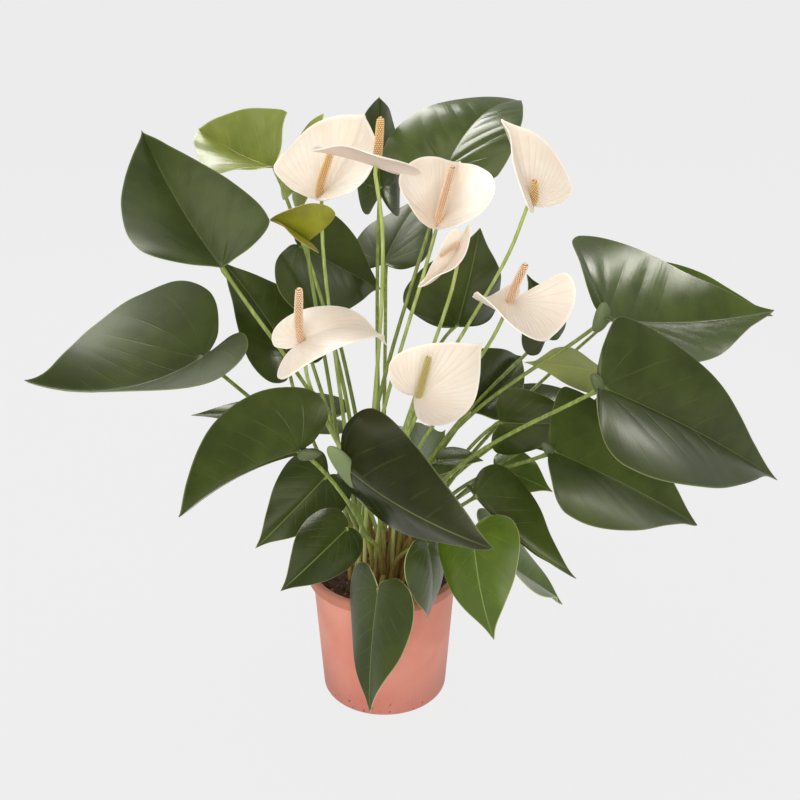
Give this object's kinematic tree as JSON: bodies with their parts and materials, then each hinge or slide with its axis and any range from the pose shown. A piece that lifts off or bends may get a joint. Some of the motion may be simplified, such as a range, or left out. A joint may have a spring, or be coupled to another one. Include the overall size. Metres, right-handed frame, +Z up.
{
  "type": "potted anthurium",
  "caption": "Potted flowering plant with glossy heart-shaped leaves, cream-white spathes with peach spadices on tall stalks, and a salmon plastic nursery pot of soil.",
  "frame": {"origin": "middle of the pot's flat underside, where it stands on the surface", "axes": "+Z up through the pot's axis, -Y towards the plant's front, +X to the front view's right"},
  "size_m": [0.8003, 0.5407, 0.6656],
  "materials": {
    "leaf_dark": "glossy dark green leaf with paler veins",
    "leaf_mid": "glossy mid green leaf",
    "leaf_bright": "glossy fresh green leaf",
    "leaf_young": "thin glossy yellow-green young leaf",
    "stalk": "smooth green flower stalk",
    "spathe": "waxy cream-white spathe, slightly pink",
    "spadix": "matt peach spike of tiny florets",
    "pot": "satin salmon moulded plastic",
    "soil": "moist potting soil of peat and bark chips"
  },
  "bodies": {
    "root": {"bloom_edge_spadix": "spadix", "bloom_edge_spathe": "spathe", "bloom_edge_stalk": "stalk", "bloom_front_spadix": "spadix", "bloom_front_spathe": "spathe", "bloom_front_stalk": "stalk", "bloom_left_spadix": "spadix", "bloom_left_spathe": "spathe", "bloom_left_stalk": "stalk", "bloom_right_spadix": "spadix", "bloom_right_spathe": "spathe", "bloom_right_stalk": "stalk", "bloom_top_left_spadix": "spadix", "bloom_top_left_spathe": "spathe", "bloom_top_left_stalk": "stalk", "bloom_top_middle_spadix": "spadix", "bloom_top_middle_spathe": "spathe", "bloom_top_middle_stalk": "stalk", "bloom_top_right_spadix": "spadix", "bloom_top_right_spathe": "spathe", "bloom_top_right_stalk": "stalk", "bloom_young_spadix": "spadix", "bloom_young_spathe": "spathe", "bloom_young_stalk": "stalk", "leaf_back_centre": "leaf_dark", "leaf_back_low": "leaf_dark", "leaf_back_right": "leaf_dark", "leaf_back_top": "leaf_dark", "leaf_behind_bloom": "leaf_dark", "leaf_behind_lower_left": "leaf_dark", "leaf_behind_upper_left": "leaf_dark", "leaf_centre_back": "leaf_dark", "leaf_edge_on": "leaf_mid", "leaf_far_left": "leaf_dark", "leaf_front_bright": "leaf_bright", "leaf_front_centre": "leaf_dark", "leaf_front_hanging": "leaf_mid", "leaf_front_small": "leaf_mid", "leaf_inner_green": "leaf_bright", "leaf_inner_right": "leaf_mid", "leaf_lime_behind": "leaf_young", "leaf_lime_top": "leaf_young", "leaf_low_left": "leaf_dark", "leaf_low_left_front": "leaf_dark", "leaf_low_right": "leaf_dark", "leaf_low_right_behind": "leaf_bright", "leaf_lower_left": "leaf_dark", "leaf_middle_left": "leaf_dark", "leaf_pale_folded": "leaf_young", "leaf_pale_striped": "leaf_bright", "leaf_right_big": "leaf_dark", "leaf_right_hidden": "leaf_dark", "leaf_right_inner": "leaf_dark", "leaf_right_middle": "leaf_dark", "leaf_right_upper": "leaf_dark", "leaf_top_centre": "leaf_dark", "leaf_upper_left": "leaf_dark", "leaf_young_folded": "leaf_young", "pot": "pot", "soil": "soil"}
  },
  "joints": []
}
